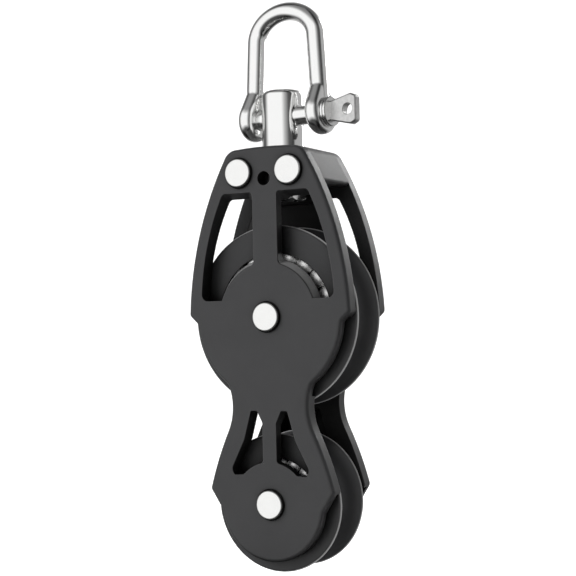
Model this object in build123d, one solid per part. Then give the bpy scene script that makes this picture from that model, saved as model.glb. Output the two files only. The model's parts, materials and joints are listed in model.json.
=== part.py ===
from build123d import *
from math import asin, atan, cos, degrees, radians, sin, sqrt, tan
import os

# Ball-bearing fiddle block: two sheaves in line between two cheeks, hung from a swivel shackle.
#
# Sizes are in millimetres, +Z is up, X runs across the cheeks and Y along the sheave axles, with
# the front cheek at -Y.  The origin is the point inside the shackle's crown that the block hangs
# from.  Pieces of the block itself are modelled about the large sheave's centre and then lowered
# into place.

# ---- driving dimensions -------------------------------------------------------------------
LARGE_R = 30.0            # large sheave, outside radius
SMALL_R = 22.5            # small sheave, outside radius
AXLE_SPACING = 60.5       # large axle to small axle
HANG_DROP = 98.5          # inside of the shackle's crown to the large axle
CHEEK_FACE = 14.1         # middle of the block to a cheek's outer face
PLATE = 3.0               # cheek thickness over the sheaves
WING = 5.05               # cheek thickness at the head and along the flanks
FIT_GAP = 0.05            # radial clearance of assembled round parts
SEAT_GAP = 0.02           # gap between faces that are clamped together

# cheek
HEAD_TOP = 55.45          # top of the head above the large axle
HEAD_SIDE = 54.8          # the same at the head's corners
HEAD_HALF = 13.6          # half-width of the head at its top
HEAD_LOW = 43.0           # underside of the head block
WING_TIP = (29.6, 0.9)    # widest point, just above the large axle
DISC_R = 26.6             # cheek radius below the wing tips, about the large axle
LOW_DISC_R = 18.6         # cheek radius about the small axle
LOW_TIP = (22.8, -56.1)   # widest point of the lower part
EDGE_ROUND = 1.3          # rounding of the cheek's outer edges
# right-hand edge of the thin middle of the cheek, upper and lower; outside it the rim is thick
UPPER_THIN = [(24.6, -1.5), (23.9, 6.0), (20.8, 24.6), (14.6, 38.0)]
LOWER_THIN = [(18.0, -57.5), (12.9, -51.5), (8.6, -39.8), (6.0, -31.6)]

# windows, each drafted from a wide outline at the outer face to a narrower one inside
WINDOW_TOP = 40.7
WINDOW_TOP_IN = 39.1
FRONT_SPINE = 4.45        # half-width of the spine between the front cheek's upper windows
REAR_SPINE = 9.8          # the same on the rear cheek
SPINE_DRAFT = 0.35
HUB_EDGE_R = 17.6         # upper windows end at this radius about the large axle
HUB_EDGE_R_IN = 20.3
LOW_HUB_EDGE_R = 13.6     # the same about the small axle
LOW_HUB_EDGE_R_IN = 13.75
LOW_SKIN = 1.6            # floor left under the rear cheek's lower recesses

# fasteners
HEAD_BOLT = (9.2, 47.15)
LOCK_HOLE = (0.0, 44.95)
LOCK_HOLE_R = 2.3
LOCK_HOLE_END = 7.4       # middle of the block to the end of the lock hole's full width
DRILL_POINT = 1.35        # depth of the cone that the drill leaves beyond it
BOLT_HEAD_R = 4.68
BOLT_HEAD_PROUD = 1.5
BOLT_HEAD_SEAT = 0.8      # depth of the recess round each head
BOLT_HEAD_GAP = 0.45      # gap between the head and the recess wall
HEAD_BARREL_R = 2.7
AXLE_BARREL_R = 3.6
SLEEVE_R = 5.2

# sheaves and bearings
SHEAVE_HALF = 8.7         # half-width of a sheave
GROOVE_R = 8.3            # radius of the rope groove's section
GROOVE_DEPTH = 5.5
BALL_GAP = 0.05           # raceway clearance round a ball
LARGE_BALL_R = 3.175
LARGE_PITCH_R = 19.4
LARGE_BALL_Y = 5.2        # middle of the block to the middle of a row of balls
LARGE_BALLS = 19
SMALL_BALL_R = 2.38
SMALL_PITCH_R = 12.95
SMALL_BALL_Y = 6.0
SMALL_BALLS = 16
LIP_REACH = 1.4           # pitch circle out to the sheave's lips
SHOULDER_REACH = 0.55     # pitch circle in to the hub's shoulder between the rows
LAND_GAP = 0.45           # gap between the sheave's middle rib and the hub's shoulder
BALL_TURN = 1.4           # place of the first ball above the horizontal, degrees

# swivel
POST_R = 7.0
POST_TOP = 75.0
POST_SHOULDER = 52.0
SHANK_R = 4.5
SHANK_END = 37.9
BUSH_R = 5.4
BUSH_FLANGE = 1.0
NUT_FLATS = 13.0
NUT_HEIGHT = 3.8
WASHER_THICK = 0.8
WASHER_R = 7.4

# shackle
SHACKLE_TURN = -8.0       # the shackle's turn about the post, degrees
SHACKLE_SHIFT = 1.9       # the post's place off the middle of the shackle, along its pin
PIN_DROP = 32.2           # crown to pin
ROD_R = 3.0
BOW_HALF = 12.1           # half-width of the crown's bend, an ellipse, on the bar's centre line
BOW_RISE = 9.5            # height of the same bend
LEG_SPREAD = 3.2          # each leg's lean outwards, degrees
EAR_R = 7.1
EAR_THICK = 5.2
EAR_ROUND = 2.3
EAR_NECK = 8.5            # pin to where the ear has narrowed to the bar
PIN_R = 3.2
PIN_FIT = 0.05
PIN_TIP = -17.0
COLLAR_R = 4.9
COLLAR_THICK = 2.1
COLLAR_GROOVE = 0.8       # depth of the groove round the collar, which parts it into two rings
TAB_LENGTH = 10.0
TAB_THICK = 3.0
TAB_HOLE_R = 1.9

PLATE_IN = CHEEK_FACE - PLATE
WING_IN = CHEEK_FACE - WING
PIN_DIR = Vector(cos(radians(SHACKLE_TURN)), sin(radians(SHACKLE_TURN)), 0)
POST_AT = PIN_DIR * -SHACKLE_SHIFT
BLOCK = Pos(POST_AT.X, POST_AT.Y, -HANG_DROP)
STAND_UP = Rot(90, 0, 0)  # turns work laid flat, z towards the front, into the standing block
BEND_END = degrees(atan(BOW_RISE / BOW_HALF * tan(radians(LEG_SPREAD))))    # where a leg leaves it
BEND_END_X = BOW_HALF * cos(radians(BEND_END))
BEND_END_Z = ROD_R - BOW_RISE + BOW_RISE * sin(radians(BEND_END))
EAR_OUT = BEND_END_X + (PIN_DROP + BEND_END_Z) * tan(radians(LEG_SPREAD))
LOW_AXLE = (0.0, -AXLE_SPACING)


def disc(radius, low, high, at=(0.0, 0.0)):
    """Cylinder along z between two heights."""
    return Pos(at[0], at[1], (low + high) / 2) * Cylinder(radius, high - low)


def round_corners(face, corners):
    """Rounds the corners of a flat face: each entry is a point near the corner and a radius."""
    for point, radius in corners:
        corner = face.vertices().sort_by_distance(Vector(*point, 0))[0]
        face = fillet(corner, radius)
    return face


def polar(radius, angle, centre=(0.0, 0.0)):
    return (centre[0] + radius * cos(radians(angle)), centre[1] + radius * sin(radians(angle)))


# ---- cheeks and head ------------------------------------------------------------------------
def cheek_face():
    """The cheek's outline, laid flat."""
    notch = polar(DISC_R, -4.2)
    neck = polar(DISC_R, -54.5)
    waist_end = (15.7, -37.0)
    low_notch = polar(LOW_DISC_R, -7.5, LOW_AXLE)
    bottom = polar(LOW_DISC_R, -90, LOW_AXLE)
    right = [
        ThreePointArc((HEAD_HALF, HEAD_SIDE), (24.6, 30.15), WING_TIP),
        Line(WING_TIP, notch),
        ThreePointArc(notch, polar(DISC_R, -28), neck),
        ThreePointArc(neck, (14.0, -30.2), waist_end),
        ThreePointArc(waist_end, (19.4, -45.6), LOW_TIP),
        Line(LOW_TIP, low_notch),
        ThreePointArc(low_notch, polar(LOW_DISC_R, -45, LOW_AXLE), bottom),
    ]
    left = [edge.mirror(Plane.YZ) for edge in right]
    top = ThreePointArc((-HEAD_HALF, HEAD_SIDE), (0, HEAD_TOP), (HEAD_HALF, HEAD_SIDE))
    face = make_face([top] + right + left)
    corners = [((HEAD_HALF, HEAD_SIDE), 5.0), (WING_TIP, 1.6), (notch, 1.6), (neck, 3.0),
               (waist_end, 8.0), (LOW_TIP, 1.6), (low_notch, 1.6)]
    both = [((side * p[0], p[1]), r) for side in (1, -1) for p, r in corners]
    return round_corners(face, both)


def upper_window(spine_half, top, hub_r, lean, corner_r, low_corner_r):
    """Right-hand upper window's outline, between the spine, the flank and the large hub."""
    sill = 5.6
    flank_mid = (21.7 - lean, 24.6)
    top_out = (15.75 - lean, top)
    sill_out = (24.5 - lean, sill)
    sill_in = (sqrt(hub_r ** 2 - sill ** 2), sill)
    spine_low = (spine_half, sqrt(hub_r ** 2 - spine_half ** 2))
    spine_top = (spine_half, top)
    face = make_face([
        Line(spine_top, top_out),
        ThreePointArc(top_out, flank_mid, sill_out),
        Line(sill_out, sill_in),
        ThreePointArc(sill_in, polar(hub_r, 35), spine_low),
        Line(spine_low, spine_top),
    ])
    return round_corners(face, [(spine_top, corner_r), (top_out, 1.8), (sill_out, 2.2),
                                (spine_low, low_corner_r)])


def lower_window(crown, flank, foot_angle, hub_r):
    """Right-hand lower window's outline, between the narrow spine, the flank and the small hub."""
    spine_top, crown_in, crown_out = crown
    knee, hip, foot_out = flank
    foot = polar(hub_r, foot_angle, LOW_AXLE)
    spine_low = (spine_top[0], -AXLE_SPACING + sqrt(hub_r ** 2 - spine_top[0] ** 2))
    face = make_face([
        Line(spine_top, crown_in),
        Line(crown_in, crown_out),
        Line(crown_out, knee),
        Line(knee, hip),
        Line(hip, foot_out),
        Line(foot_out, foot),
        ThreePointArc(foot, polar(hub_r, 57, LOW_AXLE), spine_low),
        Line(spine_low, spine_top),
    ])
    return round_corners(face, [(crown_in, 0.7), (crown_out, 0.7), (knee, 6.0), (hip, 2.2),
                                (foot_out, 0.9), (spine_low, 1.2), (spine_top, 1.5)])


def drafted(outer, inner):
    """Cutters for a window and its mirror image, from the outer face's outline to the inner one."""
    right = loft([Pos(0, 0, CHEEK_FACE) * outer, Pos(0, 0, WING_IN) * inner], ruled=True)
    return [right, right.mirror(Plane.YZ)]


def upper_windows(spine_half, corner_r):
    outer = upper_window(spine_half, WINDOW_TOP, HUB_EDGE_R, 0, 1.0, 1.8)
    inner = upper_window(spine_half + SPINE_DRAFT, WINDOW_TOP_IN, HUB_EDGE_R_IN, 0.3, corner_r, 2.0)
    return drafted(outer, inner)


def lower_windows():
    outer = lower_window([(2.5, -34.2), (4.4, -30.3), (6.7, -30.3)],
                         [(9.4, -39.8), (14.3, -49.2), (13.3, -51.3)], 44, LOW_HUB_EDGE_R)
    inner = lower_window([(2.8, -36.2), (5.4, -31.0), (6.7, -31.0)],
                         [(9.2, -39.9), (14.0, -49.2), (13.2, -51.1)], 45, LOW_HUB_EDGE_R_IN)
    return drafted(outer, inner)


def front_cheek_flat():
    """A cheek laid flat, its outer face up, before its windows are cut."""
    outline = cheek_face()
    plate = extrude(Pos(0, 0, PLATE_IN) * outline, PLATE)
    outer_edges = plate.faces().sort_by(Axis.Z)[-1].edges()
    plate = fillet(outer_edges, EDGE_ROUND)
    upper_band = Pos(0, 29.4) * Rectangle(70, 60)
    lower_band = Pos(0, -41.2) * Rectangle(70, 31.0)
    body = plate
    for band, right in ((upper_band, UPPER_THIN), (lower_band, LOWER_THIN)):
        left = [(-x, y) for x, y in reversed(right)]
        thin = make_face(Polyline(right + left, close=True))
        body += extrude(Pos(0, 0, WING_IN) * (outline & band - thin), WING - PLATE)
    return body


def fastener_holes():
    """Centre and hole radius of each fastener through a cheek."""
    side, high = HEAD_BOLT
    return [((-side, high), HEAD_BARREL_R), ((side, high), HEAD_BARREL_R),
            ((0.0, 0.0), AXLE_BARREL_R), (LOW_AXLE, AXLE_BARREL_R)]


def cheek(front):
    body = front_cheek_flat()
    spine_half, corner_r = (FRONT_SPINE, 4.0) if front else (REAR_SPINE, 2.2)
    for window in upper_windows(spine_half, corner_r):
        body -= window
    skin = Pos(0, 0, CHEEK_FACE) * Box(80, 300, 2 * LOW_SKIN)
    for window in lower_windows():
        body -= window if front else window - skin
    for at, radius in fastener_holes():
        body -= disc(radius + FIT_GAP, 0, CHEEK_FACE + 1, at)
        body -= disc(BOLT_HEAD_R + BOLT_HEAD_GAP, CHEEK_FACE - BOLT_HEAD_SEAT, CHEEK_FACE + 1, at)
    if front:
        body -= disc(LOCK_HOLE_R, 0, CHEEK_FACE + 1, LOCK_HOLE)
        return body
    return body.mirror(Plane.XY)


def head_block():
    """Filler between the cheeks at the head, bored for the swivel's bush."""
    half = WING_IN - SEAT_GAP
    head_band = Pos(0, HEAD_LOW + 10) * Rectangle(70, 20)
    body = STAND_UP * extrude(Pos(0, 0, -half) * (cheek_face() & head_band), 2 * half)
    body = fillet(body.edges().filter_by(Axis.Y).group_by(Axis.Z)[0], 1.0)
    body -= disc(BUSH_R + FIT_GAP, HEAD_LOW - 1, HEAD_TOP)
    body -= disc(POST_R + 0.4, POST_SHOULDER - BUSH_FLANGE, HEAD_TOP + 1)
    side, high = HEAD_BOLT
    for x in (-side, side):
        body -= STAND_UP * disc(HEAD_BARREL_R + FIT_GAP, -20, 20, (x, high))
    body -= STAND_UP * disc(LOCK_HOLE_R, LOCK_HOLE_END, 20, LOCK_HOLE)
    point = Cone(0.05, LOCK_HOLE_R, DRILL_POINT, align=(Align.CENTER, Align.CENTER, Align.MAX))
    body -= STAND_UP * Pos(*LOCK_HOLE, LOCK_HOLE_END) * point
    return body


# ---- fasteners: a plain-headed stud from the front, a socket screw from the back -------------
def stud(barrel_r, screw_r, at):
    """Front half of a binding fastener: a plain round head and a tapped barrel."""
    seat = CHEEK_FACE - BOLT_HEAD_SEAT
    head = disc(BOLT_HEAD_R, seat, CHEEK_FACE + BOLT_HEAD_PROUD)
    head = fillet(head.faces().sort_by(Axis.Z)[-1].edges(), 0.6)
    barrel = disc(barrel_r, -CHEEK_FACE + PLATE, seat)
    body = head + barrel - disc(screw_r + FIT_GAP, -CHEEK_FACE - 1, 8)
    return Pos(at[0], at[1], 0) * body


def socket_screw(screw_r, at):
    """Back half of a binding fastener: a low round head with a hexagon socket."""
    seat = CHEEK_FACE - BOLT_HEAD_SEAT
    head = disc(BOLT_HEAD_R, seat, CHEEK_FACE + BOLT_HEAD_PROUD)
    head = fillet(head.faces().sort_by(Axis.Z)[-1].edges(), 0.6)
    socket = Pos(0, 0, CHEEK_FACE - 0.3) * extrude(RegularPolygon(2.0, 6, major_radius=False), 3)
    shank = disc(screw_r, -6, seat)
    body = head + shank - socket
    return Pos(at[0], at[1], 0) * body.mirror(Plane.XY)


def sleeve(at):
    """Steel spacer tube round an axle barrel; the cheeks clamp on its ends."""
    half = PLATE_IN - SEAT_GAP
    tube = disc(SLEEVE_R, -half, half) - disc(AXLE_BARREL_R + FIT_GAP, -half - 1, half + 1)
    return Pos(at[0], at[1], 0) * tube


# ---- sheaves, hubs and balls ----------------------------------------------------------------
def ball_tracks(pitch_r, ball_r, ball_y):
    track = Torus(pitch_r, ball_r + BALL_GAP)
    return [Pos(0, 0, ball_y) * track, Pos(0, 0, -ball_y) * track]


def sheave(outer_r, pitch_r, ball_r, ball_y, at):
    """Grooved wheel whose bore holds both rows of balls behind a lip on each side."""
    half = SHEAVE_HALF
    body = disc(outer_r, -half, half)
    rims = body.edges().filter_by(GeomType.CIRCLE)
    body = fillet(rims, 0.9)
    groove_at = outer_r - GROOVE_DEPTH + GROOVE_R
    body -= Torus(groove_at, GROOVE_R)
    body -= disc(pitch_r - SHOULDER_REACH + LAND_GAP, -ball_y, ball_y)
    for low, high in ((ball_y - 0.01, half + 1), (-half - 1, 0.01 - ball_y)):
        body -= disc(pitch_r + LIP_REACH, low, high)
    for track in ball_tracks(pitch_r, ball_r, ball_y):
        body -= track
    return Pos(at[0], at[1], 0) * body


def hub(pitch_r, ball_r, ball_y, at):
    """Fixed inner race, clamped between the cheeks: a shoulder between the rows and a boss."""
    boss_half = PLATE_IN - SEAT_GAP
    body = disc(pitch_r - SHOULDER_REACH, -ball_y, ball_y)
    body += disc(pitch_r - ball_r - 0.1, -boss_half, boss_half)
    body -= disc(SLEEVE_R + FIT_GAP, -20, 20)
    for track in ball_tracks(pitch_r, ball_r, ball_y):
        body -= track
    return Pos(at[0], at[1], 0) * body


def balls(pitch_r, ball_r, height, count, at):
    ball = Sphere(ball_r)
    step = 360 / count
    ring = [Pos(*polar(pitch_r, i * step + BALL_TURN, at), height) * ball for i in range(count)]
    return Compound(children=ring)


# ---- swivel -----------------------------------------------------------------------------------
def swivel_post():
    """Round post bored across for the shackle pin, with a threaded shank through the head."""
    post = disc(POST_R, POST_SHOULDER + SEAT_GAP, POST_TOP)
    post = fillet(post.faces().sort_by(Axis.Z)[-1].edges(), 1.8)
    shank = disc(SHANK_R, SHANK_END, POST_SHOULDER + 1)
    shank = chamfer(shank.faces().sort_by(Axis.Z)[0].edges(), 0.6)
    pin_high = HANG_DROP - PIN_DROP
    bore = Rot(0, 90, 0) * disc(PIN_R + PIN_FIT, -20, 20)
    mouth = Cone(PIN_R + 0.1, PIN_R + 0.9, 0.8, align=(Align.CENTER, Align.CENTER, Align.MIN))
    reach = sqrt(POST_R ** 2 - PIN_R ** 2)
    mouths = [Rot(0, side * 90, 0) * Pos(0, 0, reach - 0.4) * mouth for side in (1, -1)]
    cut = Pos(0, 0, pin_high) * Rot(0, 0, SHACKLE_TURN) * (bore + mouths)
    return post + shank - cut


def swivel_bush():
    """Flanged plastic sleeve that the swivel's shank turns in."""
    top = POST_SHOULDER
    flange = disc(POST_R + 0.3, top - BUSH_FLANGE + SEAT_GAP, top)
    tube = disc(BUSH_R, HEAD_LOW, top)
    return flange + tube - disc(SHANK_R + FIT_GAP, 0, 80)


def swivel_washer():
    top = HEAD_LOW - 0.1
    body = disc(WASHER_R, top - WASHER_THICK, top)
    return body - disc(SHANK_R + FIT_GAP, 0, 80)


def swivel_nut():
    """Hexagon nut that holds the shank under the head."""
    top = HEAD_LOW - 0.1 - WASHER_THICK - SEAT_GAP
    hexagon = extrude(RegularPolygon(NUT_FLATS / 2, 6, major_radius=False), NUT_HEIGHT)
    blank = disc(NUT_FLATS / 2 * 1.14, 0, NUT_HEIGHT)
    blank = chamfer(blank.edges().filter_by(GeomType.CIRCLE), 0.8)
    body = Pos(0, 0, top - NUT_HEIGHT) * Rot(0, 0, 18) * (hexagon & blank)
    return body - disc(SHANK_R + FIT_GAP, 0, 80)


# ---- shackle, modelled along x and then turned ----------------------------------------------
def ear():
    """Flattened end of a leg: a disc across the pin that narrows upwards into the bar."""
    lean = asin((EAR_R - ROD_R) / EAR_NECK)
    low = Vector(EAR_R * cos(lean), EAR_R * sin(lean))
    top = Vector(ROD_R * cos(lean), EAR_NECK + ROD_R * sin(lean))
    right = [ThreePointArc((0, -EAR_R), polar(EAR_R, -45), low), Line(low, top)]
    left = [edge.mirror(Plane.YZ) for edge in right]
    crown = ThreePointArc((-top.X, top.Y), (0, EAR_NECK + ROD_R), top)
    outline = make_face(right + left + [crown])
    body = extrude(outline, EAR_THICK / 2, both=True)
    flats = body.faces().sort_by(Axis.Z)
    body = fillet(flats[-1].edges() + flats[0].edges(), EAR_ROUND)
    return Rot(0, 0, 90) * Rot(90, 0, 0) * body


def shackle_bow():
    """Round-bar bow with two flattened ears for the pin."""
    leg_ends = []
    legs = []
    for side in (-1, 1):
        bend_end = Vector(side * BEND_END_X, 0, BEND_END_Z)
        leg_ends.append(Vector(side * EAR_OUT, 0, -PIN_DROP))
        legs.append(Line(leg_ends[-1], bend_end).edge())
    bend = EllipticalCenterArc((0, ROD_R - BOW_RISE), BOW_HALF, BOW_RISE, BEND_END,
                               arc_size=180 - 2 * BEND_END)
    path = Wire([legs[1], (Plane.XZ * bend).edge(), legs[0]])
    section = Plane(origin=leg_ends[1], z_dir=legs[1] % 0) * Circle(ROD_R)
    body = sweep(section, path=path)
    across = Rot(0, 90, 0)
    for side, end in zip((-1, 1), leg_ends):
        body += Pos(end) * Rot(0, side * -LEG_SPREAD, 0) * ear()
    for end in leg_ends:
        body -= Pos(end) * across * Cylinder(PIN_R + PIN_FIT, 3 * EAR_THICK)
    body -= Pos(leg_ends[1]) * across * disc(COLLAR_R + 0.4, EAR_THICK / 2, EAR_THICK)
    return Rot(0, 0, SHACKLE_TURN) * body


def shackle_pin():
    """Screw pin with a collar and a flat drilled tab to turn it by."""
    seat = EAR_OUT + EAR_THICK / 2 + SEAT_GAP
    along = Rot(0, 90, 0)
    shaft = along * disc(PIN_R, PIN_TIP, seat + 1)
    shaft = chamfer(shaft.faces().sort_by(Axis.X)[0].edges(), 0.5)
    collar = disc(COLLAR_R, seat, seat + COLLAR_THICK)
    collar = fillet(collar.edges().filter_by(GeomType.CIRCLE), 0.4)
    groove = disc(COLLAR_R + 1, seat + 0.95, seat + 1.35)
    groove -= disc(COLLAR_R - COLLAR_GROOVE, seat + 0.95, seat + 1.35)
    collar = along * (collar - groove)
    root = seat + COLLAR_THICK - 0.3
    tip = root + TAB_LENGTH
    outline = make_face(Polyline((root, -3.1), (tip - 2, -5.0), (tip, -4.0), (tip, 4.0), (tip - 2, 5.0),
                                 (root, 3.1), close=True))
    outline = fillet(outline.vertices().sort_by(Axis.X)[-4:], 1.2)
    tab = Rot(90, 0, 0) * extrude(outline, TAB_THICK / 2, both=True)
    broad = tab.faces().sort_by(Axis.Y)
    tab = chamfer(broad[0].edges() + broad[-1].edges(), 0.4)
    hole_at = tip - 3.1
    tab -= Pos(hole_at, 0, 0) * Rot(90, 0, 0) * Cylinder(TAB_HOLE_R, 20)
    body = shaft + collar + tab
    return Rot(0, 0, SHACKLE_TURN) * (Pos(0, 0, -PIN_DROP) * body)


# ---- every piece in its place ----------------------------------------------------------------
def flat(shape):
    return BLOCK * STAND_UP * shape


side, high = HEAD_BOLT
large = (LARGE_PITCH_R, LARGE_BALL_R, LARGE_BALL_Y, (0.0, 0.0))
small = (SMALL_PITCH_R, SMALL_BALL_R, SMALL_BALL_Y, LOW_AXLE)
pieces = {
    "shackle_bow": shackle_bow(),
    "shackle_pin": shackle_pin(),
    "swivel_post": BLOCK * swivel_post(),
    "swivel_bush": BLOCK * swivel_bush(),
    "swivel_washer": BLOCK * swivel_washer(),
    "swivel_nut": BLOCK * swivel_nut(),
    "head_block": BLOCK * head_block(),
    "front_cheek": flat(cheek(front=True)),
    "rear_cheek": flat(cheek(front=False)),
    "head_stud_left": flat(stud(HEAD_BARREL_R, 1.5, (-side, high))),
    "head_stud_right": flat(stud(HEAD_BARREL_R, 1.5, (side, high))),
    "head_screw_left": flat(socket_screw(1.5, (-side, high))),
    "head_screw_right": flat(socket_screw(1.5, (side, high))),
    "large_axle_stud": flat(stud(AXLE_BARREL_R, 2.5, (0.0, 0.0))),
    "large_axle_screw": flat(socket_screw(2.5, (0.0, 0.0))),
    "small_axle_stud": flat(stud(AXLE_BARREL_R, 2.5, LOW_AXLE)),
    "small_axle_screw": flat(socket_screw(2.5, LOW_AXLE)),
    "large_axle_sleeve": flat(sleeve((0.0, 0.0))),
    "small_axle_sleeve": flat(sleeve(LOW_AXLE)),
    "large_hub": flat(hub(*large)),
    "small_hub": flat(hub(*small)),
    "large_sheave": flat(sheave(LARGE_R, *large)),
    "small_sheave": flat(sheave(SMALL_R, *small)),
    "large_balls_front": flat(balls(LARGE_PITCH_R, LARGE_BALL_R, LARGE_BALL_Y, LARGE_BALLS, (0.0, 0.0))),
    "large_balls_rear": flat(balls(LARGE_PITCH_R, LARGE_BALL_R, -LARGE_BALL_Y, LARGE_BALLS, (0.0, 0.0))),
    "small_balls_front": flat(balls(SMALL_PITCH_R, SMALL_BALL_R, SMALL_BALL_Y, SMALL_BALLS, LOW_AXLE)),
    "small_balls_rear": flat(balls(SMALL_PITCH_R, SMALL_BALL_R, -SMALL_BALL_Y, SMALL_BALLS, LOW_AXLE)),
}

os.makedirs("parts", exist_ok=True)
for name, shape in pieces.items():
    export_step(shape, f"parts/{name}.step")
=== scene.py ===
"""Looks for the ball-bearing fiddle block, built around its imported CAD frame.

Lengths are in metres, angles in degrees and colours linear. Many greys were set so that the
render is as bright as the photo there, which can't tell light from material.
"""
import json
from math import cos, pi, radians, sin

import bpy
from mathutils import Matrix, Vector


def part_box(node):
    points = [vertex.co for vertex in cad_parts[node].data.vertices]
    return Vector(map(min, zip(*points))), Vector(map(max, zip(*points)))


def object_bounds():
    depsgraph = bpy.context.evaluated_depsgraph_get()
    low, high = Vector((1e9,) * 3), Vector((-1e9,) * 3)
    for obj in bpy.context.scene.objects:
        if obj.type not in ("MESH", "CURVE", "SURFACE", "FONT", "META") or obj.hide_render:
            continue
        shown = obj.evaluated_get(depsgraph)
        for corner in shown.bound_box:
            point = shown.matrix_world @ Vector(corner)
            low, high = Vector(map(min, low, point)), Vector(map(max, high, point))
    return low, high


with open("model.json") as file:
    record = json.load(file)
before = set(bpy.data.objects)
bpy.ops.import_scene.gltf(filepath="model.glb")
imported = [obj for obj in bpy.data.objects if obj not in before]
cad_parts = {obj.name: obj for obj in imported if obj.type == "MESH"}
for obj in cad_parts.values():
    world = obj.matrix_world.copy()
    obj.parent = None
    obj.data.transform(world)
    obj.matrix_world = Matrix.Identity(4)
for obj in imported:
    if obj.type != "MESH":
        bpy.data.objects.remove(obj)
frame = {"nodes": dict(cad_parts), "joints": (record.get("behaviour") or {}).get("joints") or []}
CAD_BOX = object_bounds()

# ---- places taken from the frame -----------------------------------------------------------
JOINT = {joint["name"]: joint for joint in frame["joints"]}
LARGE_AXLE = Vector(JOINT["large_sheave_spin"]["pos_m"])
SMALL_AXLE = Vector(JOINT["small_sheave_spin"]["pos_m"])
PIN_MIDDLE = Vector(JOINT["shackle_tilt"]["pos_m"])
PIN_DIR = Vector(JOINT["shackle_tilt"]["axis"]).normalized()

# ---- where a look fades in or out: spans from its start to its end ---------------------------
# the hub bevel's painted highlight fades in and out over these depths and radii
BEVEL_DEPTHS = (0.0002, 0.0006), (0.0048, 0.0052)      # below the front cheek's face
BEVEL_RADII = (0.0175, 0.0177), (0.0204, 0.0210)       # from the large axle
# the rims' painted highlight fades in over this inset
CREST_INSET = 0.00042, 0.00012                         # in from a sheave's rim
TAB_SPAN = 0.0180, 0.0186                              # along the pin from its middle
# where the painted top light starts, above the head block's foot
TOP_LIGHT_START = 0.002                                    # above the head block's foot

# ---- plastics --------------------------------------------------------------------------------
# painted shade for recesses and the gaps between parts
PAINTED_SHADE_BLACK = (0.006, 0.006, 0.006)
NYLON_GREY = (0.022, 0.022, 0.023)
NYLON_MOTTLE = (0.020, 0.020, 0.021), (0.027, 0.027, 0.028)
# edge colour: partly wear, partly painted highlight on the roundings
EDGE_WEAR_AND_HIGHLIGHT_GREY = (0.11, 0.11, 0.11)
# painted highlight on the front cheek's hub bevel
PAINTED_BEVEL_HIGHLIGHT_GREY = (0.15, 0.15, 0.15)
# painted light on the head block's upper part
PAINTED_TOP_LIGHT_GREY = (0.062, 0.062, 0.062)
ACETAL_BLACK = (0.018, 0.018, 0.019)
ACETAL_MOTTLE = (0.015, 0.015, 0.016), (0.022, 0.022, 0.023)
# painted highlight along the sheaves' rims
PAINTED_CREST_HIGHLIGHT_GREY = (0.24, 0.24, 0.24)
GRAIN_SCALE = 5200         # of the moulds' fine eroded grain
GRAIN_HEIGHT = 0.00004
MOULDED_EDGE = 0.0004      # edge radius that the shader shows on moulded plastic
TURNED_EDGE = 0.0002       # the same on turned plastic and steel

# ---- steels ----------------------------------------------------------------------------------
STEEL = (0.88, 0.88, 0.875)
TAB_TINTS = (0.50, 0.50, 0.495), (0.80, 0.80, 0.795)
HEAD_STEEL = (0.88, 0.88, 0.87)
HEAD_TINTS = (0.86, 0.86, 0.85), (0.92, 0.92, 0.91)
WARMTH = 0.005             # by which steel's blue is under its red and green
TINT_SPREAD = 0.03         # how far polished steel's tint strays either way
POLISHED_EDGE = 0.0003
FORGED_EDGE = 0.0010

# ---- studio ----------------------------------------------------------------------------------
# Brightness of the room in reflections by bearing, from -Y towards +X, and by height, the sine
# of the elevation.
PANELS = [(-180, 0.45), (-150, 0.60), (-125, 0.60), (-102, 0.10), (-82, 0.12), (-58, 1.0),
          (22, 1.0), (38, 0.50), (60, 0.10), (87, 0.05), (97, 0.40), (165, 0.45), (180, 0.45)]
CEILING = [(-1.0, 0.06), (-0.60, 0.08), (-0.35, 1.0), (0.55, 1.0), (0.80, 0.30), (1.0, 0.20)]
ROOM_STRENGTH = 1.05
ROOM_FILL = 0.55           # the room's strength as soft fill light

# Each light's place from the block's middle, size, power in W, and whether reflections show it.
LIGHTS = {
    "key_left": ((-0.5, -0.5, 0.35), (0.30, 0.45), 7.0, False),
    "rim_right": ((0.10, 0.60, 0.25), (0.12, 0.35), 1.0, True),
    "top_right": ((0.22, 0.10, 0.50), (0.26, 0.26), 2.2, False),
}

FLOOR_DROP = 0.012         # from the block's foot down to the floor
FLOOR_FRONT = -6.0         # the floor's near end
FLOOR_HALF_WIDTH = 2.6
WALL_DEPTH = 0.9           # how far behind the block the floor ends up as a wall
WALL_RISE = 1.6
WALL_BEND = 0.5            # radius of the bend between them
WALL_BEND_STEPS = 24
FLOOR_GLOW = 0.38

# ---- camera, solved from the outlines in the photo -------------------------------------------
CAMERA_AZIMUTH = 28.18
CAMERA_ELEVATION = -1.43
CAMERA_ROLL = -1.30
CAMERA_DISTANCE = 0.44216
CAMERA_LENS = 86.22                                  # mm, on a sensor 36 mm wide
AIM_OFFSET = Vector((0.00807, -0.01409, 0.00909))    # aim point from the large axle


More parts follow.
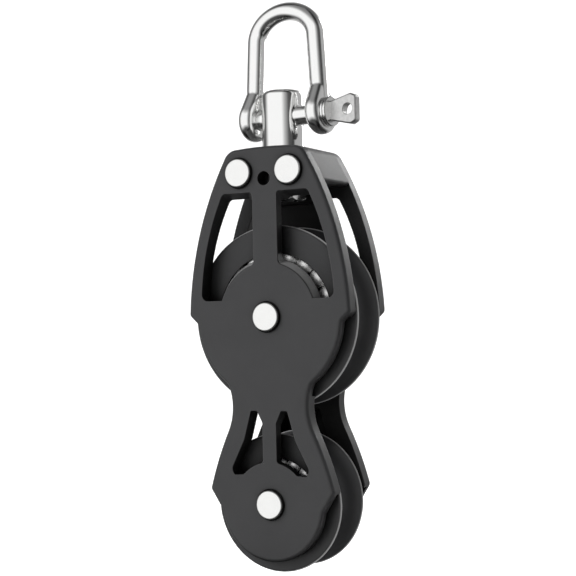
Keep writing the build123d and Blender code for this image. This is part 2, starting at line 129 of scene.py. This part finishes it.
# ---- node helpers ----------------------------------------------------------------------------
class Nodes:
    """A node tree, and short calls for adding nodes to it."""

    def __init__(self, tree):
        self.tree = tree

    def node(self, kind, **values):
        made = self.tree.nodes.new(kind)
        for key, value in values.items():
            setattr(made, key, value)
        return made

    def link(self, source, target):
        self.tree.links.new(source, target)

    def feed(self, value, socket):
        """Links a socket to another, or sets it to a number or a colour."""
        if isinstance(value, (int, float)):
            socket.default_value = value
        elif isinstance(value, tuple):
            socket.default_value = (*value, 1.0)
        else:
            self.link(value, socket)

    def split(self, vector):
        """The X, Y and Z sockets of a vector."""
        made = self.node("ShaderNodeSeparateXYZ")
        self.link(vector, made.inputs["Vector"])
        return made.outputs

    def spread(self, value, low, high, source=(0.0, 1.0)):
        """Maps a value from one span to another, and holds it at their ends."""
        made = self.node("ShaderNodeMapRange")
        made.inputs["From Min"].default_value = source[0]
        made.inputs["From Max"].default_value = source[1]
        made.inputs["To Min"].default_value = low
        made.inputs["To Max"].default_value = high
        self.link(value, made.inputs["Value"])
        return made.outputs["Result"]

    def math(self, operation, first, second=0.0):
        made = self.node("ShaderNodeMath", operation=operation)
        self.feed(first, made.inputs[0])
        self.feed(second, made.inputs[1])
        return made.outputs["Value"]

    def dot(self, first, second):
        made = self.node("ShaderNodeVectorMath", operation="DOT_PRODUCT")
        self.link(first, made.inputs[0])
        if isinstance(second, Vector):
            made.inputs[1].default_value = second
        else:
            self.link(second, made.inputs[1])
        return made.outputs["Value"]

    def band(self, value, rise, fall):
        """1 between two spans of the value, fading to 0 across them."""
        return self.math("MULTIPLY", self.spread(value, 0.0, 1.0, source=rise),
                         self.spread(value, 1.0, 0.0, source=fall))

    def mix_color(self, factor, first, second, blend="MIX"):
        made = self.node("ShaderNodeMix", data_type="RGBA", blend_type=blend)
        self.feed(factor, made.inputs["Factor"])
        sockets = [socket for socket in made.inputs if socket.type == "RGBA"]
        for socket, value in zip(sockets, (first, second)):
            self.feed(value, socket)
        return [socket for socket in made.outputs if socket.type == "RGBA"][0]

    def grey_ramp(self, value, stops):
        """Colour ramp over these places and grey values."""
        made = self.node("ShaderNodeValToRGB")
        elements = made.color_ramp.elements
        while len(elements) < len(stops):
            elements.new(1.0)
        for element, (place, grey) in zip(elements, stops):
            element.position = place
            element.color = (grey, grey, grey, 1.0)
        self.link(value, made.inputs["Fac"])
        return made.outputs["Color"]


class Shader(Nodes):
    """A material with a principled shader."""

    def __init__(self, name, color, metallic, roughness):
        self.material = bpy.data.materials.new(name)
        self.material.use_nodes = True
        super().__init__(self.material.node_tree)
        self.bsdf = self.tree.nodes["Principled BSDF"]
        self.drive("Base Color", color)
        self.drive("Metallic", metallic)
        self.drive("Roughness", roughness)

    def drive(self, socket, value):
        """Sets one of the shader's sockets, or links it."""
        self.feed(value, self.bsdf.inputs[socket])

    def place(self, centre=(0, 0, 0), scale=(1, 1, 1)):
        """The surface point in the object's own frame, moved so that centre is its zero."""
        coords = self.node("ShaderNodeTexCoord")
        mapping = self.node("ShaderNodeMapping")
        mapping.inputs["Location"].default_value = [-c * s for c, s in zip(centre, scale)]
        mapping.inputs["Scale"].default_value = scale
        self.link(coords.outputs["Object"], mapping.inputs["Vector"])
        return mapping.outputs["Vector"]

    def noise(self, vector, scale, detail=3.0, roughness=0.55):
        made = self.node("ShaderNodeTexNoise")
        made.inputs["Scale"].default_value = scale
        made.inputs["Detail"].default_value = detail
        made.inputs["Roughness"].default_value = roughness
        self.link(vector, made.inputs["Vector"])
        return made.outputs["Fac"]

    def bump(self, height, strength, distance, edge_radius):
        """Bumps of this height, on edges rounded by this radius."""
        made = self.node("ShaderNodeBump")
        made.inputs["Strength"].default_value = strength
        made.inputs["Distance"].default_value = distance
        self.link(height, made.inputs["Height"])
        self.link(self.soft_edges(edge_radius), made.inputs["Normal"])
        self.drive("Normal", made.outputs["Normal"])

    def soft_edges(self, radius):
        """Normal that looks as if every sharp edge had this radius."""
        made = self.node("ShaderNodeBevel", samples=6)
        made.inputs["Radius"].default_value = radius
        return made.outputs["Normal"]

    def edge_mask(self, radius, low=0.02, high=0.35):
        """Near 1 along sharp edges, where the softened normal leaves the true one."""
        geometry = self.node("ShaderNodeNewGeometry")
        agreement = self.dot(self.soft_edges(radius), geometry.outputs["Normal"])
        return self.spread(self.math("SUBTRACT", 1.0, agreement), 0.0, 1.0, source=(low, high))

    def openness(self, reach, low, high):
        """0 in tight recesses up to 1 on open surfaces; the mask of painted shade."""
        made = self.node("ShaderNodeAmbientOcclusion", samples=8)
        made.inputs["Distance"].default_value = reach
        return self.spread(made.outputs["AO"], 0.0, 1.0, source=(low, high))

    def axle_distance(self, centre):
        """Distance from an axle that runs along Y."""
        across = self.split(self.place(centre))
        squares = [self.math("MULTIPLY", across[a], across[a]) for a in ("X", "Z")]
        return self.math("SQRT", self.math("ADD", *squares))

    def rings(self, distance, scale):
        """Turning marks: noise that changes only with the distance from the axle."""
        combine = self.node("ShaderNodeCombineXYZ")
        self.link(distance, combine.inputs["X"])
        return self.noise(combine.outputs["Vector"], scale, detail=4.0)

    def moulded_grain(self, point):
        self.bump(self.noise(point, GRAIN_SCALE, detail=2.0), 0.10, GRAIN_HEIGHT, MOULDED_EDGE)


# ---- materials -------------------------------------------------------------------------------
def hub_bevel_highlight(s, point):
    """1 on the sloping edge round the front cheek's large hub, where a painted highlight gives
    the bright band in the photo.
    """
    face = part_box("front_cheek")[0][1]
    rise, fall = [[face + depth for depth in span] for span in BEVEL_DEPTHS]
    on_slope = s.band(s.split(point)["Y"], rise, fall)
    return s.math("MULTIPLY", s.band(s.axle_distance(LARGE_AXLE), *BEVEL_RADII), on_slope)


def moulded_nylon():
    """Dark grey satin nylon with a fine grain, edges lightened by wear and a painted highlight,
    and painted shade in its recesses.
    """
    s = Shader("cheek_nylon", NYLON_GREY, 0.0, 0.4)
    point = s.place()
    base = s.mix_color(s.noise(point, 90, detail=4.0), *NYLON_MOTTLE)
    # edges lightened partly by wear and partly by a painted highlight where roundings catch
    # light
    edges = s.math("MULTIPLY", s.edge_mask(0.0005), s.spread(s.noise(point, 700), 0.1, 0.9))
    with_edge_wear_and_highlight = s.mix_color(edges, base, EDGE_WEAR_AND_HIGHLIGHT_GREY)
    # painted shade: colour and reflections darken in recesses and window walls, where shade
    # falls
    open_air = s.openness(0.03, 0.45, 0.92)
    shaded = s.mix_color(open_air, PAINTED_SHADE_BLACK, with_edge_wear_and_highlight)
    # painted highlight on the hub's bevel, standing in for the light it reflects
    s.drive("Base Color", s.mix_color(hub_bevel_highlight(s, point), shaded, PAINTED_BEVEL_HIGHLIGHT_GREY))
    s.drive("Specular IOR Level", s.spread(open_air, 0.06, 0.38))
    s.drive("Roughness", s.spread(s.noise(point, 260), 0.33, 0.47))
    s.moulded_grain(point)
    return s.material


def top_lit_nylon():
    """The head block's nylon, with painted light making it lighter and speckled towards its top,
    as in the photo.
    """
    s = Shader("head_nylon", (0.05, 0.05, 0.05), 0.0, 0.5)
    low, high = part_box("head_block")
    point = s.place()
    # painted light: lighter towards the top, as if lit from above
    climb = s.spread(s.split(point)["Z"], 0.0, 1.0, source=(low[2] + TOP_LIGHT_START, high[2]))
    speck = s.noise(point, 1500, detail=4.0, roughness=0.7)
    painted_top_light = s.math("MULTIPLY", climb, s.spread(speck, 0.55, 1.45, source=(0.3, 0.7)))
    s.drive("Base Color", s.mix_color(painted_top_light, NYLON_GREY, PAINTED_TOP_LIGHT_GREY))
    s.moulded_grain(point)
    return s.material


def turned_acetal(name, centre, rim):
    """Black acetal with turning marks about its axle, a painted highlight along its rims and
    painted shade in its groove.
    """
    s = Shader(name, ACETAL_BLACK, 0.0, 0.34)
    distance = s.axle_distance(centre)
    marks = s.rings(distance, 2600)
    s.drive("Roughness", s.spread(marks, 0.26, 0.42))
    base = s.mix_color(s.noise(s.place(), 120), *ACETAL_MOTTLE)
    # painted highlight along the rim, standing in for a specular line
    crest_highlight = s.spread(distance, 0.0, 1.0, source=[rim - inset for inset in CREST_INSET])
    # painted shade: the groove and recesses darkened, with dimmer reflections, where shade falls
    open_air = s.openness(0.012, 0.30, 0.85)
    shaded = s.mix_color(open_air, PAINTED_SHADE_BLACK, base)
    s.drive("Base Color", s.mix_color(crest_highlight, shaded, PAINTED_CREST_HIGHLIGHT_GREY))
    s.drive("Specular IOR Level", s.spread(open_air, 0.08, 0.38))
    s.bump(marks, 0.12, GRAIN_HEIGHT, TURNED_EDGE)
    return s.material


def polished_steel(name, roughness=(0.07, 0.14), color=0.88, edge_radius=POLISHED_EDGE):
    """Polished stainless steel with faint haze and hairline scratches."""
    s = Shader(name, (color, color, color - WARMTH), 1.0, roughness[0])
    haze = s.noise(s.place(), 300, detail=5.0)
    s.drive("Roughness", s.spread(haze, *roughness, source=(0.35, 0.7)))
    tints = [(tint, tint, tint - WARMTH) for tint in (color - TINT_SPREAD, color + TINT_SPREAD)]
    s.drive("Base Color", s.mix_color(s.noise(s.place(), 60), *tints))
    hairlines = s.noise(s.place(scale=(1.0, 1.0, 0.08)), 5000, detail=2.0)
    s.bump(hairlines, 0.02, 0.00001, edge_radius)
    return s.material


def pin_steel():
    """The shackle pin's steel: bright on its shaft and collar, uneven and duller on its tab."""
    s = Shader("pin_steel", STEEL, 1.0, 0.1)
    along = s.dot(s.place(PIN_MIDDLE), PIN_DIR)
    tab = s.spread(along, 0.0, 1.0, source=TAB_SPAN)
    dull = s.mix_color(s.noise(s.place(), 900, detail=5.0), *TAB_TINTS)
    s.drive("Base Color", s.mix_color(tab, STEEL, dull))
    s.drive("Roughness", s.spread(tab, 0.09, 0.38))
    uneven = s.math("MULTIPLY", tab, s.noise(s.place(), 2200, detail=3.0))
    s.bump(uneven, 0.35, 0.00012, POLISHED_EDGE)
    return s.material


def turned_steel(name, centre):
    """Stainless steel of the studs, screws and sleeves, with turning marks round the axle."""
    s = Shader(name, HEAD_STEEL, 1.0, 0.2)
    marks = s.rings(s.axle_distance(centre), 5200)
    s.drive("Roughness", s.spread(marks, 0.20, 0.34))
    s.drive("Base Color", s.mix_color(s.noise(s.place(), 400), *HEAD_TINTS))
    s.bump(marks, 0.08, 0.00002, TURNED_EDGE)
    return s.material


def natural_acetal():
    s = Shader("natural_acetal", (0.55, 0.54, 0.50), 0.0, 0.45)
    s.drive("Roughness", s.spread(s.noise(s.place(), 200), 0.38, 0.52))
    return s.material


def wear(node, material):
    """Gives a CAD node's mesh this material alone."""
    mesh = frame["nodes"][node].data
    mesh.materials.clear()
    mesh.materials.append(material)


nylon = moulded_nylon()
wear("front_cheek", nylon)
wear("rear_cheek", nylon)
wear("head_block", top_lit_nylon())
for size, axle in (("large", LARGE_AXLE), ("small", SMALL_AXLE)):
    low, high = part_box(f"{size}_sheave")
    acetal = turned_acetal(f"{size}_sheave_acetal", axle, (high[0] - low[0]) / 2)
    wear(f"{size}_sheave", acetal)
    wear(f"{size}_hub", acetal)
steel = polished_steel("polished_steel")
for node in ("swivel_post", "swivel_nut", "swivel_washer"):
    wear(node, steel)
wear("shackle_pin", pin_steel())
wear("shackle_bow", polished_steel("forged_steel", edge_radius=FORGED_EDGE))
ball_steel = polished_steel("ball_steel", roughness=(0.50, 0.60), color=0.97)
for size in ("large", "small"):
    wear(f"{size}_balls_front", ball_steel)
    wear(f"{size}_balls_rear", ball_steel)
wear("swivel_bush", natural_acetal())
for node in frame["nodes"]:
    if "stud" in node or "screw" in node or "sleeve" in node:
        low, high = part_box(node)
        wear(node, turned_steel(node + "_steel", (low + high) / 2))


# ---- stage: floor, room, lights and camera ---------------------------------------------------
def make_floor():
    """Pale floor that curves up into a wall behind the block, as the camera sees it."""
    low = CAD_BOX[0][2] - FLOOR_DROP
    bend_start = WALL_DEPTH - WALL_BEND
    profile = [(FLOOR_FRONT, low), (bend_start, low)]
    for step in range(1, WALL_BEND_STEPS + 1):
        angle = step / WALL_BEND_STEPS * pi / 2
        profile.append((bend_start + WALL_BEND * sin(angle),
                        low + WALL_BEND - WALL_BEND * cos(angle)))
    profile.append((WALL_DEPTH, low + WALL_RISE))
    vertices = []
    for y, z in profile:
        vertices += [(-FLOOR_HALF_WIDTH, y, z), (FLOOR_HALF_WIDTH, y, z)]
    faces = [(2 * i, 2 * i + 1, 2 * i + 3, 2 * i + 2) for i in range(len(profile) - 1)]
    mesh = bpy.data.meshes.new("floor")
    mesh.from_pydata(vertices, [], faces)
    mesh.polygons.foreach_set("use_smooth", [True] * len(faces))
    floor = bpy.data.objects.new("floor", mesh)
    floor.rotation_euler = (0, 0, radians(CAMERA_AZIMUTH))
    bpy.context.scene.collection.objects.link(floor)
    s = Shader("floor_paper", (0.86, 0.86, 0.86), 0.0, 0.9)
    s.drive("Emission Color", (1.0, 1.0, 1.0))
    s.drive("Emission Strength", FLOOR_GLOW)
    s.drive("Roughness", s.spread(s.noise(s.place(), 30), 0.85, 0.95))
    mesh.materials.append(s.material)
    floor.visible_glossy = False


def make_world():
    """Room of tall soft panels set round the block; the camera itself sees plain white."""
    world = bpy.data.worlds.new("studio")
    world.use_nodes = True
    bpy.context.scene.world = world
    w = Nodes(world.node_tree)
    direction = w.split(w.node("ShaderNodeTexCoord").outputs["Generated"])
    bearing = w.math("ARCTAN2", direction["X"], w.math("MULTIPLY", direction["Y"], -1.0))
    panels = w.grey_ramp(w.spread(bearing, 0.0, 1.0, source=(-pi, pi)),
                         [((degrees + 180) / 360, grey) for degrees, grey in PANELS])
    cover = w.grey_ramp(w.spread(direction["Z"], 0.0, 1.0, source=(-1.0, 1.0)),
                        [((height + 1) / 2, grey) for height, grey in CEILING])
    path = w.node("ShaderNodeLightPath").outputs
    lit = w.tree.nodes["Background"]
    w.link(w.mix_color(1.0, panels, cover, blend="MULTIPLY"), lit.inputs["Color"])
    w.link(w.spread(path["Is Diffuse Ray"], ROOM_STRENGTH, ROOM_FILL), lit.inputs["Strength"])
    white = w.node("ShaderNodeBackground")
    w.feed((1.0, 1.0, 1.0), white.inputs["Color"])
    choose = w.node("ShaderNodeMixShader")
    w.link(path["Is Camera Ray"], choose.inputs["Fac"])
    w.link(lit.outputs["Background"], choose.inputs[1])
    w.link(white.outputs["Background"], choose.inputs[2])
    w.link(choose.outputs["Shader"], w.tree.nodes["World Output"].inputs["Surface"])


def area_light(name, at, size, power, in_reflections, target):
    data = bpy.data.lights.new(name, "AREA")
    data.shape = "RECTANGLE"
    data.size, data.size_y = size
    data.energy = power
    light = bpy.data.objects.new(name, data)
    light.location = at
    light.rotation_euler = (target - at).to_track_quat("-Z", "Y").to_euler()
    light.visible_glossy = in_reflections
    bpy.context.scene.collection.objects.link(light)


def make_camera():
    data = bpy.data.cameras.new("camera")
    data.lens = CAMERA_LENS
    data.sensor_width = 36.0
    data.clip_start = 0.01
    camera = bpy.data.objects.new("camera", data)
    azimuth, elevation, roll = map(radians, (CAMERA_AZIMUTH, CAMERA_ELEVATION, CAMERA_ROLL))
    back = Vector((sin(azimuth) * cos(elevation), -cos(azimuth) * cos(elevation),
                   sin(elevation)))
    level = Vector((cos(azimuth), sin(azimuth), 0))
    upright = back.cross(level)
    right = cos(roll) * level + sin(roll) * upright
    up = -sin(roll) * level + cos(roll) * upright
    turn = Matrix((right, up, back)).transposed()
    place = LARGE_AXLE + AIM_OFFSET + CAMERA_DISTANCE * back
    camera.matrix_world = Matrix.Translation(place) @ turn.to_4x4()
    bpy.context.scene.collection.objects.link(camera)
    bpy.context.scene.camera = camera


bpy.context.scene.view_settings.view_transform = "Standard"
make_world()
make_floor()
make_camera()
middle = (Vector(CAD_BOX[0]) + Vector(CAD_BOX[1])) / 2
for name, (offset, size, power, in_reflections) in LIGHTS.items():
    area_light(name, middle + Vector(offset), size, power, in_reflections, middle)
